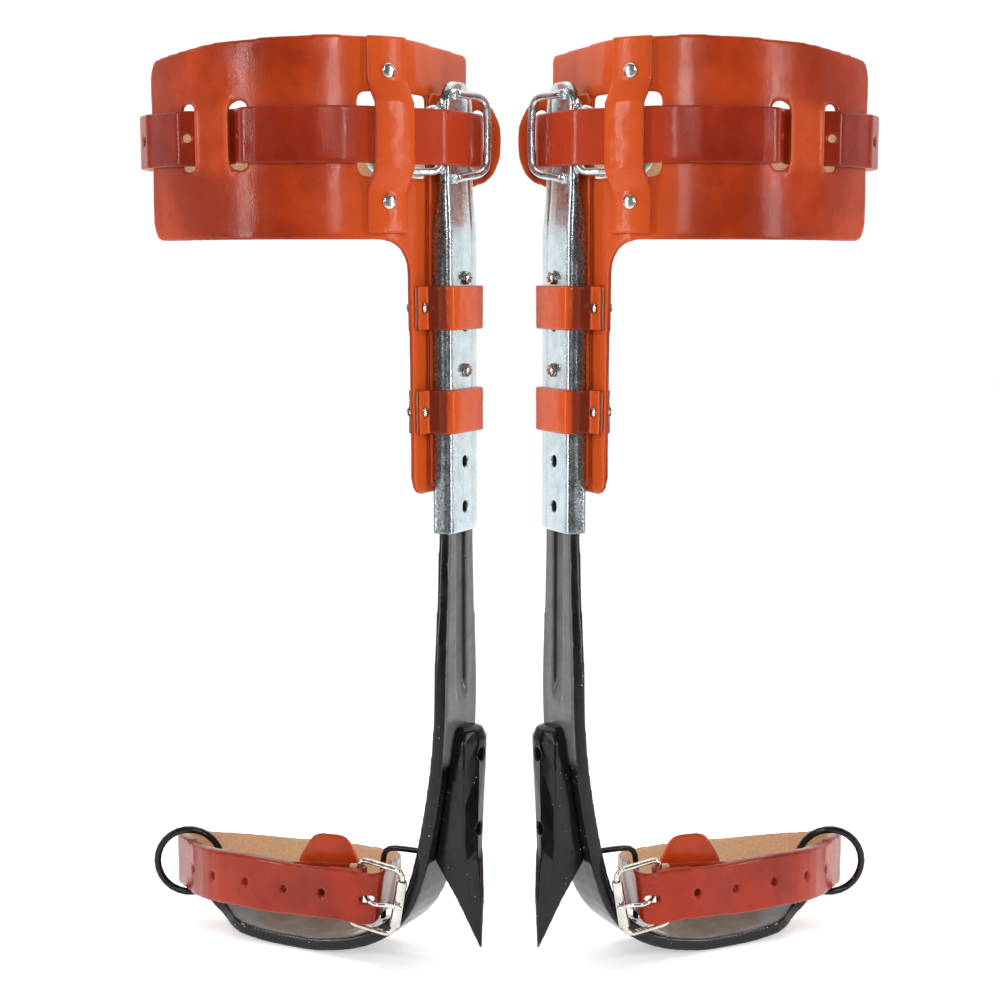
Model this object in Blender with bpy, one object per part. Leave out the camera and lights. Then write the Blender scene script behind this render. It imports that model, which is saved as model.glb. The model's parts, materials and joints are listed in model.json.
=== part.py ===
"""A pair of tree climbing spurs: steel leg irons with gaffs, sliding sleeves, leather cuffs and straps.

One spur is drawn in its own frame (the left one) and the right spur is its mirror image.
Spur frame: +X towards the other leg (the gaff side), -Y to the wearer's front, +Z up,
origin on the floor under the shank's gaff-side face.
"""
from math import atan2, cos, degrees, hypot, pi, radians, sin

import bmesh
import bpy
from mathutils import Matrix, Vector

MM = 0.001
GAP = 0.3 * MM

# Driving dimensions -----------------------------------------------------------------------------
SPUR_TURN = radians(25.5)           # each spur is turned this much, gaff side to the front
SPUR_OFFSET = Vector((-25.5 * MM, -40.75 * MM, 0))

BAR_WIDTH = 29 * MM                 # flat bar of the leg iron at the sleeve
BAR_FOOT_WIDTH = 38 * MM            # the same bar under the boot
BAR_END_WIDTH = 20 * MM
BAR_THICKNESS = 6.5 * MM
BAR_FOOT_THICKNESS = 7.7 * MM
SHANK_TOP = 386 * MM
GROOVE_WIDTH = 9.0 * MM
GROOVE_DEPTH = 3.0 * MM
GROOVE_END = 146 * MM

HOLE_PITCH = 24 * MM                # one step of the height adjustment
FIRST_HOLE = 251.5 * MM
HOLE_COUNT = 6
UPPER_SCREW_HOLE = 5
LOWER_SCREW_HOLE = 3

SLEEVE_BOTTOM = 238 * MM
SLEEVE_SHOULDER = 391 * MM
TONGUE_START = 424 * MM
TONGUE_TOP = 473 * MM
SLEEVE_HALF_WIDTH = 16.7 * MM
TONGUE_HALF_WIDTH = 15.3 * MM
SLEEVE_FACE = 2.3 * MM              # X of the sleeve's gaff-side face
TONGUE_FACE = 0.5 * MM
SLEEVE_WALL = 1.8 * MM

STRAP_WIDTH = 28.5 * MM
STRAP_THICKNESS = 2.6 * MM
STRAP_HEIGHT = 442.5 * MM           # centre line of the calf strap
ANKLE_WIDTH = 30 * MM
HOLE_STEP = 26 * MM                 # between the holes in the ankle strap
CALF_HOLE_STEP = 37 * MM

CUFF_TOP = 491.5 * MM
CUFF_BOTTOM = 391.5 * MM
TAIL_BOTTOM = 259 * MM
CUFF_THICKNESS = 2.8 * MM
BACKING_THICKNESS = 2.6 * MM
KEEPER_THICKNESS = 2.4 * MM
LOOP_THICKNESS = 2.4 * MM
LOOP_HEIGHT = 23 * MM
UPPER_LOOP_Z = 356.1 * MM
LOWER_LOOP_Z = 302.5 * MM

WIRE_RADIUS = 2.2 * MM              # welded wire loops
BUCKLE_WIRE = 1.7 * MM
ROLLER_RADIUS = 2.9 * MM
ROLLER_BORE = 2.1 * MM
PRONG_RADIUS = 1.3 * MM
BUCKLE_LENGTH = 24.7 * MM           # pivot bar to roller

KEEPER_RIVET_HEAD = 4.0 * MM
TAIL_RIVET_HEAD = 2.9 * MM
RIVET_SHANK = 1.7 * MM

# Plan views (X, Y) in millimetres, and side views (X, Z)
CUFF_PLAN = ((-13.6, 33), (-13.6, 14), (-13.6, -6), (-13.6, -20), (-13.9, -30), (-18.2, -41.5),
             (-27, -52.5), (-42, -63), (-62.5, -70.5), (-86, -72), (-111, -68.5), (-133, -62), (-154, -53.5))
BACKING_PLAN = ((-10.3, -16.6), (-10.3, 2), (-10.3, 14), (-9.4, 24), (-4.5, 33), (4, 41))
SHANK_CURVE = ((0, 170), (0, 146), (-1.6, 120), (-5, 95), (-9.7, 70), (-14.6, 50), (-20.5, 34.5),
               (-30, 21), (-43, 11.3), (-58, 5), (-72, 1.8), (-84, 0.1), (-90, 0))
OUTER_ARM_CURVE = ((-104, 0), (-117, 0.6), (-132, 2.8), (-145, 7), (-155, 12.5), (-162, 19.5))


# Curves -----------------------------------------------------------------------------------------
def catmull(points, per_span=12):
    """A smooth curve through the points, as a dense list of vectors."""
    knots = [Vector(p) for p in points]
    knots = [knots[0] * 2 - knots[1]] + knots + [knots[-1] * 2 - knots[-2]]
    dense = []
    for i in range(1, len(knots) - 2):
        a, b, c, d = knots[i - 1:i + 3]
        for k in range(per_span):
            t = k / per_span
            dense.append(0.5 * (2 * b + (c - a) * t + (2 * a - 5 * b + 4 * c - d) * t * t
                                + (3 * b - a - 3 * c + d) * t ** 3))
    dense.append(knots[-2])
    return dense


def thinned(points, turn=7, reach=14 * MM):
    """The same curve with points only where it bends, or every reach."""
    kept = [points[0]]
    heading = points[1] - points[0]
    for here, ahead in zip(points[1:], points[2:]):
        step = ahead - here
        bend = degrees(heading.angle(step))
        if (here - kept[-1]).length > 0.7 * MM and (bend > turn or (here - kept[-1]).length > reach):
            kept.append(here)
            heading = step
    if (points[-1] - kept[-1]).length < 0.7 * MM:
        kept.pop()
    return kept + [points[-1]]


class Track:
    """A curve measured by length."""

    def __init__(self, points):
        self.points = points
        self.length_at = [0.0]
        for a, b in zip(points, points[1:]):
            self.length_at.append(self.length_at[-1] + (b - a).length)
        self.length = self.length_at[-1]

    def at(self, s):
        """Position and unit tangent at length s, straight on past both ends."""
        last = len(self.points) - 2
        i = 0
        while i < last and self.length_at[i + 1] < s:
            i += 1
        a, b = self.points[i], self.points[i + 1]
        tangent = (b - a).normalized()
        return a + tangent * (s - self.length_at[i]), tangent

    def nearest(self, target):
        """The length at which the curve passes closest to a point."""
        best = min(range(len(self.points)), key=lambda i: (self.points[i] - target).length)
        return self.length_at[best]


def plan_track(points):
    return Track([p * MM for p in catmull([Vector((x, y, 0)) for x, y in points])])


def outward(tangent):
    """The side away from the leg, for a route that runs from the shank round the front."""
    return Vector((-tangent.y, tangent.x, 0)).normalized()


CUFF = plan_track(CUFF_PLAN)
FRONT_BEND = CUFF.nearest(Vector((-15, -35, 0)) * MM)
BACKING = plan_track(BACKING_PLAN)


# Meshes -----------------------------------------------------------------------------------------
def faced_out(bm):
    """All faces of a closed mesh turned to point out."""
    bmesh.ops.recalc_face_normals(bm, faces=bm.faces)
    if bm.calc_volume(signed=True) < 0:
        bmesh.ops.reverse_faces(bm, faces=bm.faces)
    return bm


def loft(rings, closed=False):
    """A closed solid through rings of points with equal counts."""
    bm = bmesh.new()
    loops = [[bm.verts.new(p) for p in ring] for ring in rings]
    pairs = list(zip(loops, loops[1:]))
    if closed:
        pairs.append((loops[-1], loops[0]))
    count = len(loops[0])
    for low, high in pairs:
        for k in range(count):
            bm.faces.new((low[k], low[(k + 1) % count], high[(k + 1) % count], high[k]))
    if not closed:
        bm.faces.new(loops[0][::-1])
        bm.faces.new(loops[-1])
    return faced_out(bm)


def tube(points, radius, closed=False, sides=8):
    """A round rod along a route, with rings that don't twist."""
    count = len(points)
    rings = []
    normal = None
    for i, point in enumerate(points):
        if closed:
            tangent = (points[(i + 1) % count] - points[i - 1]).normalized()
        else:
            tangent = (points[min(i + 1, count - 1)] - points[max(i - 1, 0)]).normalized()
        if normal is None:
            normal = tangent.orthogonal().normalized()
        normal = (normal - tangent * normal.dot(tangent)).normalized()
        side = tangent.cross(normal)
        rings.append([point + (normal * cos(2 * pi * k / sides) + side * sin(2 * pi * k / sides))
                      * radius for k in range(sides)])
    return loft(rings, closed)


def ribbon(points, width, thickness, rises=None):
    """A strap on edge along a route; rises gives the way its width runs at each point."""
    rings = []
    count = len(points)
    for i, point in enumerate(points):
        behind = (point - points[max(i - 1, 0)]).normalized()
        ahead = (points[min(i + 1, count - 1)] - point).normalized()
        tangent = (behind + ahead).normalized()
        rise = rises[i] if rises else Vector((0, 0, 1))
        face = tangent.cross(rise).normalized()
        half = (behind if ahead.length == 0 else ahead).angle(tangent)
        w, t = rise * width / 2, face * thickness / 2 / cos(half)
        rings.append([point - w - t, point - w + t, point + w + t, point + w - t])
    return loft(rings)


def turned(profile, base, axis, segments=16):
    """A turned solid: profile points are (radius, height) from base along axis."""
    axis = Vector(axis).normalized()
    side = axis.orthogonal().normalized()
    other = axis.cross(side)
    rings = []
    for radius, height in profile:
        rings.append([Vector(base) + axis * height
                      + (side * cos(2 * pi * k / segments) + other * sin(2 * pi * k / segments))
                      * max(radius, 0.05 * MM) for k in range(segments)])
    return loft(rings)


def prism(outline, low, high):
    """A flat plate: outline is (X, Y), the plate runs from low to high in Z."""
    return loft([[Vector((x, y, z)) for x, y in outline] for z in (low, high)])


def scratch(bm):
    mesh = bpy.data.meshes.new("scratch")
    bm.to_mesh(mesh)
    bm.free()
    thing = bpy.data.objects.new("scratch", mesh)
    bpy.context.scene.collection.objects.link(thing)
    return thing


def boolean(base, tools, operation="DIFFERENCE"):
    """The base mesh with each tool mesh cut away or joined on."""
    body = scratch(base)
    cutters = [scratch(tool) for tool in tools]
    for cutter in cutters:
        step = body.modifiers.new("cut", "BOOLEAN")
        step.solver = "EXACT"
        step.operation = operation
        step.object = cutter
    bpy.context.view_layer.update()
    result = bmesh.new()
    result.from_object(body, bpy.context.evaluated_depsgraph_get())
    for thing in [body] + cutters:
        mesh = thing.data
        bpy.data.objects.remove(thing)
        bpy.data.meshes.remove(mesh)
    bmesh.ops.dissolve_degenerate(result, dist=0.001 * MM, edges=result.edges)
    return result


def rounded(corners, steps=4):
    """An outline whose corners are (x, y, radius) in millimetres, rounded by arcs."""
    outline = []
    count = len(corners)
    for i, (x, y, radius) in enumerate(corners):
        here = Vector((x, y))
        if radius == 0:
            outline.append(tuple(here * MM))
            continue
        back = (Vector(corners[i - 1][:2]) - here).normalized()
        ahead = (Vector(corners[(i + 1) % count][:2]) - here).normalized()
        half = back.angle(ahead) / 2
        centre = here + (back + ahead).normalized() * radius / sin(half)
        start = here + back * radius / (sin(half) / cos(half)) - centre
        end = here + ahead * radius / (sin(half) / cos(half)) - centre
        turn = atan2(start.x * end.y - start.y * end.x, start.dot(end))
        for k in range(steps + 1):
            a = turn * k / steps
            spoke = Vector((start.x * cos(a) - start.y * sin(a), start.x * sin(a) + start.y * cos(a)))
            outline.append(tuple((centre + spoke) * MM))
    return outline


def bent_sheet(outline, holes, thickness, track, strip=6 * MM):
    """Leather cut to an outline of (length, Z), with holes, bent along a plan track."""
    flat = prism(outline, -thickness / 2, thickness / 2)
    if holes:
        flat = boolean(flat, [prism(hole, -thickness, thickness) for hole in holes])
    start = min(v.co.x for v in flat.verts)
    end = max(v.co.x for v in flat.verts)
    s = start + strip
    while s < end - 0.2 * strip:
        bmesh.ops.bisect_plane(flat, geom=flat.verts[:] + flat.edges[:] + flat.faces[:],
                               dist=0.001 * MM, plane_co=(s, 0, 0), plane_no=(1, 0, 0))
        s += strip
    bmesh.ops.triangulate(flat, faces=flat.faces)
    for vert in flat.verts:
        spot, tangent = track.at(vert.co.x)
        z = vert.co.y
        vert.co = spot + outward(tangent) * vert.co.z
        vert.co.z = z
    return faced_out(flat)


def disc_hole(s, z, radius, sides=12):
    return [(s + radius * cos(2 * pi * k / sides), z + radius * sin(2 * pi * k / sides))
            for k in range(sides)]


# Pieces -----------------------------------------------------------------------------------------
PIECES = []


def piece(name, bm, material, pivot=(0, 0, 0)):
    """Keep one sub-part's mesh, with its origin on its joint's axis where it moves."""
    PIECES.append((name, bm, material, Vector(pivot)))


def ease(low, high, value):
    t = min(max((value - low) / (high - low), 0), 1)
    return t * t * (3 - 2 * t)


# Leg iron: shank, stirrup and outer arm from one flat bar
def bar_stations():
    """Points on the bar's outer face (X, Z), with the inward normal at each."""
    shank = [Vector((x, z)) * MM for x, z in SHANK_CURVE]
    arm = [Vector((x, z)) * MM for x, z in OUTER_ARM_CURVE]
    curve = catmull([Vector((p.x, p.y, 0)) for p in shank + arm], 2)
    curve = [Vector((p.x, max(p.y, 0))) for p in curve]
    top = [Vector((0, SHANK_TOP)), Vector((0, 300 * MM)), Vector((0, 235 * MM)), Vector((0, 200 * MM))]
    line = top + curve
    stations = []
    for i, p in enumerate(line):
        tangent = (line[min(i + 1, len(line) - 1)] - line[max(i - 1, 0)]).normalized()
        stations.append((p, Vector((tangent.y, -tangent.x))))
    return stations


def bar_ring(point, normal, grow=0.0):
    """The bar's section at a station: chamfered, with the screw groove above the stirrup."""
    spread = 1 - ease(150 * MM, 235 * MM, point.y)
    narrow = ease(-132 * MM, -153 * MM, point.x) if point.x < -132 * MM else 0
    width = BAR_WIDTH + (BAR_FOOT_WIDTH - BAR_WIDTH) * spread - (BAR_FOOT_WIDTH - BAR_END_WIDTH) * narrow
    thick = BAR_THICKNESS + (BAR_FOOT_THICKNESS - BAR_THICKNESS) * spread
    depth = max(GROOVE_DEPTH * ease(GROOVE_END, GROOVE_END + 14 * MM, point.y), 0.05 * MM)
    depth = 0.05 * MM if grow else depth
    h, g, c = width / 2 + grow, GROOVE_WIDTH / 2, 0.9 * MM
    low, high = thick + grow, -grow
    section = [(-h + c, low), (h - c, low), (h, low - c), (h, high + c), (h - c, high),
               (g + 0.8 * MM, high), (g, high + depth), (-g, high + depth), (-g - 0.8 * MM, high),
               (-h + c, high), (-h, high + c), (-h, low - c)]
    return [Vector((point.x + normal.x * v, u, point.y + normal.y * v)) for u, v in section]


def bar(grow=0.0):
    return loft([bar_ring(p, n, grow) for p, n in bar_stations()])


def shank_face(z):
    """X of the bar's gaff-side face at a height above the stirrup."""
    side = [p for p, n in bar_stations() if p.x > -60 * MM]
    for high, low in zip(side, side[1:]):
        if low.y <= z <= high.y:
            return low.x + (high.x - low.x) * (z - low.y) / (high.y - low.y)
    return 0.0


GAFF_SCREWS = ((118 * MM, 1.5 * MM, 10.6 * MM), (77 * MM, 1.0 * MM, 9.6 * MM))


RING_CENTRE = Vector((-177.6, -1.0, 34)) * MM
RING_RADIUS = 18.7 * MM
RING_ROD = 2.2 * MM


def ring_route():
    """The ankle ring stands square to the pair's front, not to the spur's own."""
    across = Vector((cos(SPUR_TURN), sin(SPUR_TURN), 0))
    return [RING_CENTRE + (across * cos(2 * pi * k / 26) + Vector((0, 0, 1)) * sin(2 * pi * k / 26))
            * RING_RADIUS for k in range(26)]


def build_leg_iron():
    """The bar, with holes for the gaff's screws and a seat where the ankle ring is welded on."""
    cuts = [tube(ring_route(), RING_ROD + GAP, closed=True)]
    for z, y, _ in GAFF_SCREWS:
        start = (shank_face(z) - 15 * MM, y, z)
        cuts.append(turned([(2.75 * MM, 0), (2.75 * MM, 30 * MM)], start, (1, 0, 0)))
    piece("leg_iron", boolean(bar(), cuts), "black_paint")


def build_ankle_ring():
    """A round rod ring on the end of the outer arm."""
    piece("ankle_ring", tube(ring_route(), RING_ROD, closed=True), "black_paint")


def build_gaff():
    """A forged spike that stands off the shank, screwed to its face."""
    def ring(z, inner, front, rear, corners):
        around = [(inner, front)] + list(corners) + [(inner, rear)]
        return [Vector((x, y, z)) * MM for x, y in around]

    rings = [
        ring(133, 0, -4, 8, ((3, -4.5), (6, 0), (6.5, 4), (4.5, 8))),
        ring(131.5, -3, -7, 10.5, ((5, -7.5), (9, -1.5), (9.5, 6), (7, 10.5))),
        ring(126, -4, -9, 12.5, ((6.5, -10.5), (10.8, -2), (11.3, 6.5), (9, 12.5))),
        ring(112, -5.5, -10, 13, ((7, -11.5), (10.8, -1.5), (10.8, 6.5), (8.5, 12.5))),
        ring(90, -10, -10.5, 13, ((7, -11.8), (10.2, -1), (9.5, 7), (7.5, 11.5))),
        ring(66, -16, -9, 11, ((6.5, -11), (9.8, -1), (9.3, 5.5), (7.0, 9.5))),
        ring(60, -13, -8.5, 9, ((6.8, -10), (10.5, -2), (10.5, 4.5), (8, 8.0))),
        ring(38, -0.5, -6, 5, ((7.8, -6.5), (12.2, -2.5), (12.4, 1.5), (9, 4.5))),
        ring(12, 11.6, -2.6, -1.4, ((12.0, -2.8), (12.6, -2.2), (12.6, -1.8), (12.0, -1.2))),
    ]
    body = loft([r[::-1] for r in rings])
    cutters = [bar(GAP)]
    for z, y, face in GAFF_SCREWS:
        start = (shank_face(z) - 10 * MM, y, z)
        cutters.append(turned([(2.6 * MM, 0), (2.6 * MM, 50 * MM)], start, (1, 0, 0)))
        cutters.append(turned([(3.6 * MM, 0), (3.6 * MM, 20 * MM)], (face - 6 * MM, y, z), (1, 0, 0)))
    piece("gaff", boolean(body, cutters), "black_paint")
    for label, (z, y, face) in zip(("upper", "lower"), GAFF_SCREWS):
        start = shank_face(z) - 6 * MM
        reach = face - 6 * MM - start
        profile = [(2.2 * MM, 0), (2.2 * MM, reach + GAP), (3.2 * MM, reach + GAP),
                   (3.2 * MM, reach + 3 * MM), (1.6 * MM, reach + 3 * MM), (1.6 * MM, reach + 1.4 * MM),
                   (0, reach + 1.4 * MM)]
        piece(f"gaff_screw_{label}", turned(profile, (start, y, z), (1, 0, 0), 12), "steel_screw")


# Sleeve: pressed channel that slides on the shank, flattened at its top into a rounded tongue
def sleeve_ring(z, face, half, depth, lip):
    """One level of the channel: face is X outside, lips close its leg side."""
    wall = SLEEVE_WALL
    r = min(3.2 * MM, half * 0.4, (face + depth) * 0.45)
    ri = max(r - wall, 0.6 * MM)
    back = -depth

    def corner(cx, cy, radius, start):
        return [Vector((cx + radius * cos(start + k * pi / 6), cy + radius * sin(start + k * pi / 6), z))
                for k in range(4)]

    crease = 0.35 * MM
    outer = [Vector((back, half - lip - wall, z)), Vector((back, half - 1.2 * MM, z)),
             Vector((back + 1.2 * MM, half, z))]
    outer += corner(face - r, half - r, r, 0)[::-1]
    outer += [Vector((face + crease, 0, z))]
    outer += corner(face - r, -half + r, r, -pi / 2)[::-1]
    outer += [Vector((back + 1.2 * MM, -half, z)), Vector((back, -half + 1.2 * MM, z)),
              Vector((back, -half + lip + wall, z))]
    inner = [Vector((back + wall, -half + lip + wall, z)), Vector((back + wall, -half + wall, z))]
    inner += corner(face - wall - ri, -half + wall + ri, ri, -pi / 2)
    inner += [Vector((face - wall, 0, z))]
    inner += corner(face - wall - ri, half - wall - ri, ri, 0)
    inner += [Vector((back + wall, half - wall, z)), Vector((back + wall, half - lip - wall, z))]
    return outer + inner


def build_sleeve():
    full, flat = 8.7 * MM, 5.0 * MM
    levels = [(SLEEVE_BOTTOM, 0), (SLEEVE_SHOULDER, 0)]
    rise = TONGUE_START - SLEEVE_SHOULDER
    levels += [(SLEEVE_SHOULDER + rise * k / 5, ease(0, 5, k)) for k in range(1, 6)]
    rings = []
    for z, t in levels:
        face = SLEEVE_FACE + (TONGUE_FACE - SLEEVE_FACE) * t
        half = SLEEVE_HALF_WIDTH + (TONGUE_HALF_WIDTH - SLEEVE_HALF_WIDTH) * t
        rings.append(sleeve_ring(z, face, half, full + (flat - full) * t, (7 - 6.4 * t) * MM))
    centre = TONGUE_TOP - TONGUE_HALF_WIDTH
    for angle in (0, 20, 38, 54, 67):
        a = radians(angle)
        height = centre + TONGUE_HALF_WIDTH * sin(a)
        rings.append(sleeve_ring(height, TONGUE_FACE, TONGUE_HALF_WIDTH * cos(a), flat, 0.6 * MM))
    holes = []
    for k in range(HOLE_COUNT):
        middle = (-0.5 * MM, 0, FIRST_HOLE + k * HOLE_PITCH)
        holes.append(turned([(3.2 * MM, 0), (3.2 * MM, 12 * MM)], middle, (1, 0, 0), 12))
    piece("sleeve", boolean(loft(rings), holes), "zinc")
    for label, index in (("lower", LOWER_SCREW_HOLE), ("upper", UPPER_SCREW_HOLE)):
        z = FIRST_HOLE + index * HOLE_PITCH
        base = -2.2 * MM
        seat = SLEEVE_FACE + 0.35 * MM + GAP - base
        profile = [(2.3 * MM, 0), (2.7 * MM, 0.5 * MM), (2.7 * MM, seat), (3.6 * MM, seat),
                   (3.6 * MM, seat + 1.2 * MM), (3.2 * MM, seat + 2.3 * MM), (2.2 * MM, seat + 2.9 * MM),
                   (0, seat + 3.1 * MM)]
        slots = [prism([(a, b), (c, b), (c, d), (a, d)], seat + 1.7 * MM, seat + 9 * MM)
                 for a, b, c, d in ((-2.4 * MM, -0.45 * MM, 2.4 * MM, 0.45 * MM),
                                    (-0.45 * MM, -2.4 * MM, 0.45 * MM, 2.4 * MM))]
        head = boolean(turned(profile, (0, 0, 0), (0, 0, 1), 12), slots)
        head.transform(Matrix.Translation((base, 0, z)) @ Matrix.Rotation(pi / 2, 4, "Y"))
        piece(f"sleeve_screw_{label}", head, "nickel")


def build_strap_loop():
    """Wire welded on the tongue's face; the calf strap passes under its upright."""
    low, high = (STRAP_HEIGHT - 17.9 * MM) / MM, (STRAP_HEIGHT + 22.5 * MM) / MM
    x0 = TONGUE_FACE / MM + 0.35 + GAP / MM + WIRE_RADIUS / MM
    corners = [(x0, -10, low - 2.5), (x0 + 0.3, 0, low - 1), (6.4, 9, low + 0.6), (8.0, 13.8, low + 4.5),
               (8.3, 14.8, low + 12), (8.3, 14.8, high - 12), (8.0, 13.8, high - 4), (6.4, 9, high - 0.4),
               (x0 + 0.3, 0, high), (x0, -10, high)]
    piece("strap_loop", tube([p * MM for p in catmull(corners, 3)], WIRE_RADIUS), "zinc")


def build_pad_bracket():
    """A wire ring from the tongue's front edge, under the calf strap and the keeper."""
    low, high, end = STRAP_HEIGHT - 17.4 * MM, STRAP_HEIGHT + 11 * MM, STRAP_HEIGHT + 18.3 * MM
    plan = [Vector((-2.3, -17.9, 0)) * MM, Vector((-6.6, -24, 0)) * MM, Vector((-11.6, -31.5, 0)) * MM]
    for k in (6, 11, 15, 18):
        spot, tangent = CUFF.at(FRONT_BEND + k * MM)
        plan.append(spot - outward(tangent) * 1.6 * MM)
    track = Track(catmull(plan, 8))
    corners = rounded([(0, low / MM, 5), (track.length / MM, low / MM, 5), (track.length / MM, high / MM, 5),
                       (10, high / MM, 5), (0, end / MM, 4)], 3)
    ring = []
    for i, (s, z) in enumerate(corners):
        s2, z2 = corners[(i + 1) % len(corners)]
        pieces = max(1, round(hypot(s2 - s, z2 - z) / (8 * MM)))
        for k in range(pieces):
            ring.append((s + (s2 - s) * k / pieces, z + (z2 - z) * k / pieces))
    route = []
    for s, z in ring:
        spot, _ = track.at(s)
        route.append(Vector((spot.x, spot.y, z)))
    piece("pad_bracket", tube(route, WIRE_RADIUS, closed=True), "zinc")


# Leather ----------------------------------------------------------------------------------------
WINDOW = (CUFF.nearest(Vector((-13.6, -12, 0)) * MM), FRONT_BEND + 25 * MM)
KEEPER_AT = FRONT_BEND + 10.5 * MM
SLOT_NEAR = CUFF.nearest(Vector((-87.2, -72, 0)) * MM)
SLOT_FAR = SLOT_NEAR + 35.5 * MM
SLOT_WIDTH = 11 * MM
KEEPER_WIDTH = 21 * MM
KEEPER_RIVETS = (474 * MM, 409.5 * MM)
TAIL_RIVET_Y = -22.9 * MM
TAIL_X = -13.6 * MM


def slot_outline(centre, width, low, high):
    half = width / 2 / MM
    c = centre / MM
    r = min(half * 0.8, 4)
    return rounded([(c - half, low / MM, r), (c + half, low / MM, r), (c + half, high / MM, r),
                    (c - half, high / MM, r)], 3)


def build_cuff():
    end = CUFF.length / MM
    top, low = CUFF_TOP / MM, CUFF_BOTTOM / MM
    tail_front = CUFF.nearest(Vector((-13.9, -30.7, 0)) * MM) / MM
    outline = rounded([
        (0, low + 12, 8), (21, low + 6, 8), (21, TAIL_BOTTOM / MM, 8), (tail_front - 2, TAIL_BOTTOM / MM, 9),
        (tail_front, low - 1, 18), (end, low - 1.5, 9), (end, top - 7.5, 9),
        (end * 0.78, top - 2, 0), (end * 0.5, top, 0), (end * 0.25, top - 0.5, 0), (0, top - 2.5, 4)])
    half = STRAP_WIDTH / 2 + 2.5 * MM
    window = slot_outline(sum(WINDOW) / 2, WINDOW[1] - WINDOW[0], STRAP_HEIGHT - 20 * MM,
                          STRAP_HEIGHT + 21 * MM)
    holes = [window]
    holes += [slot_outline(s, SLOT_WIDTH, STRAP_HEIGHT - half, STRAP_HEIGHT + half)
              for s in (SLOT_NEAR, SLOT_FAR)]
    holes += [disc_hole(KEEPER_AT, z, RIVET_SHANK + GAP) for z in KEEPER_RIVETS]
    rivet_s = CUFF.nearest(Vector((TAIL_X, TAIL_RIVET_Y, 0)))
    holes += [disc_hole(rivet_s, z, RIVET_SHANK + GAP) for z in (UPPER_LOOP_Z, LOWER_LOOP_Z)]
    piece("cuff", bent_sheet(outline, holes, CUFF_THICKNESS, CUFF), "leather")


def build_backing():
    """Second leather layer behind the sleeve, with a slotted ear for the calf strap."""
    low, high = (STRAP_HEIGHT - 22 * MM) / MM, (STRAP_HEIGHT + 23.5 * MM) / MM
    root, tip = 49.5, BACKING.length / MM
    ear = [(root + (tip - root) * cos(a), (low + high) / 2 + (high - low) / 2 * sin(a))
           for a in [radians(d) for d in range(-75, 76, 15)]]
    outline = rounded([(0, TAIL_BOTTOM / MM + 3, 6), (30, TAIL_BOTTOM / MM + 3, 6), (30, low - 9, 8),
                       (root, low, 3)] + [(s, z, 0) for s, z in ear]
                      + [(root, high, 0), (0, high, 5)])
    slot = slot_outline(BACKING.nearest(Vector((-5.3, 31.5, 0)) * MM), 8 * MM,
                        STRAP_HEIGHT - 17 * MM, STRAP_HEIGHT + 17 * MM)
    piece("cuff_backing", bent_sheet(outline, [slot], BACKING_THICKNESS, BACKING, 4 * MM), "leather")


def strap_route():
    """Plan route of the calf strap from the strap loop round the front to the cuff's far end."""
    over = (CUFF_THICKNESS + STRAP_THICKNESS) / 2 + 0.5 * MM
    at_bracket = WIRE_RADIUS + STRAP_THICKNESS / 2 + 0.6 * MM
    route = [Vector((2.9, 12, 0)) * MM, Vector((2.6, 0, 0)) * MM, Vector((2.6, -12, 0)) * MM,
             Vector((2.0, -18.5, 0)) * MM, Vector((-1.8, -24.5, 0)) * MM, Vector((-6.4, -30, 0)) * MM]
    start = FRONT_BEND + 1 * MM
    s = start
    while s < CUFF.length + 2 * MM:
        spot, tangent = CUFF.at(s)
        lift = at_bracket + (over - at_bracket) * ease(start + 23 * MM, start + 42 * MM, s)
        inside = ease(SLOT_NEAR - SLOT_WIDTH / 2, SLOT_NEAR + SLOT_WIDTH / 2, s)
        inside -= ease(SLOT_FAR - SLOT_WIDTH / 2, SLOT_FAR + SLOT_WIDTH / 2, s)
        route.append(spot + outward(tangent) * (lift - 2 * over * inside))
        near_slot = min(abs(s - SLOT_NEAR), abs(s - SLOT_FAR)) < SLOT_WIDTH / 2
        s += 1.6 * MM if near_slot else 4.5 * MM
    return route


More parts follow.
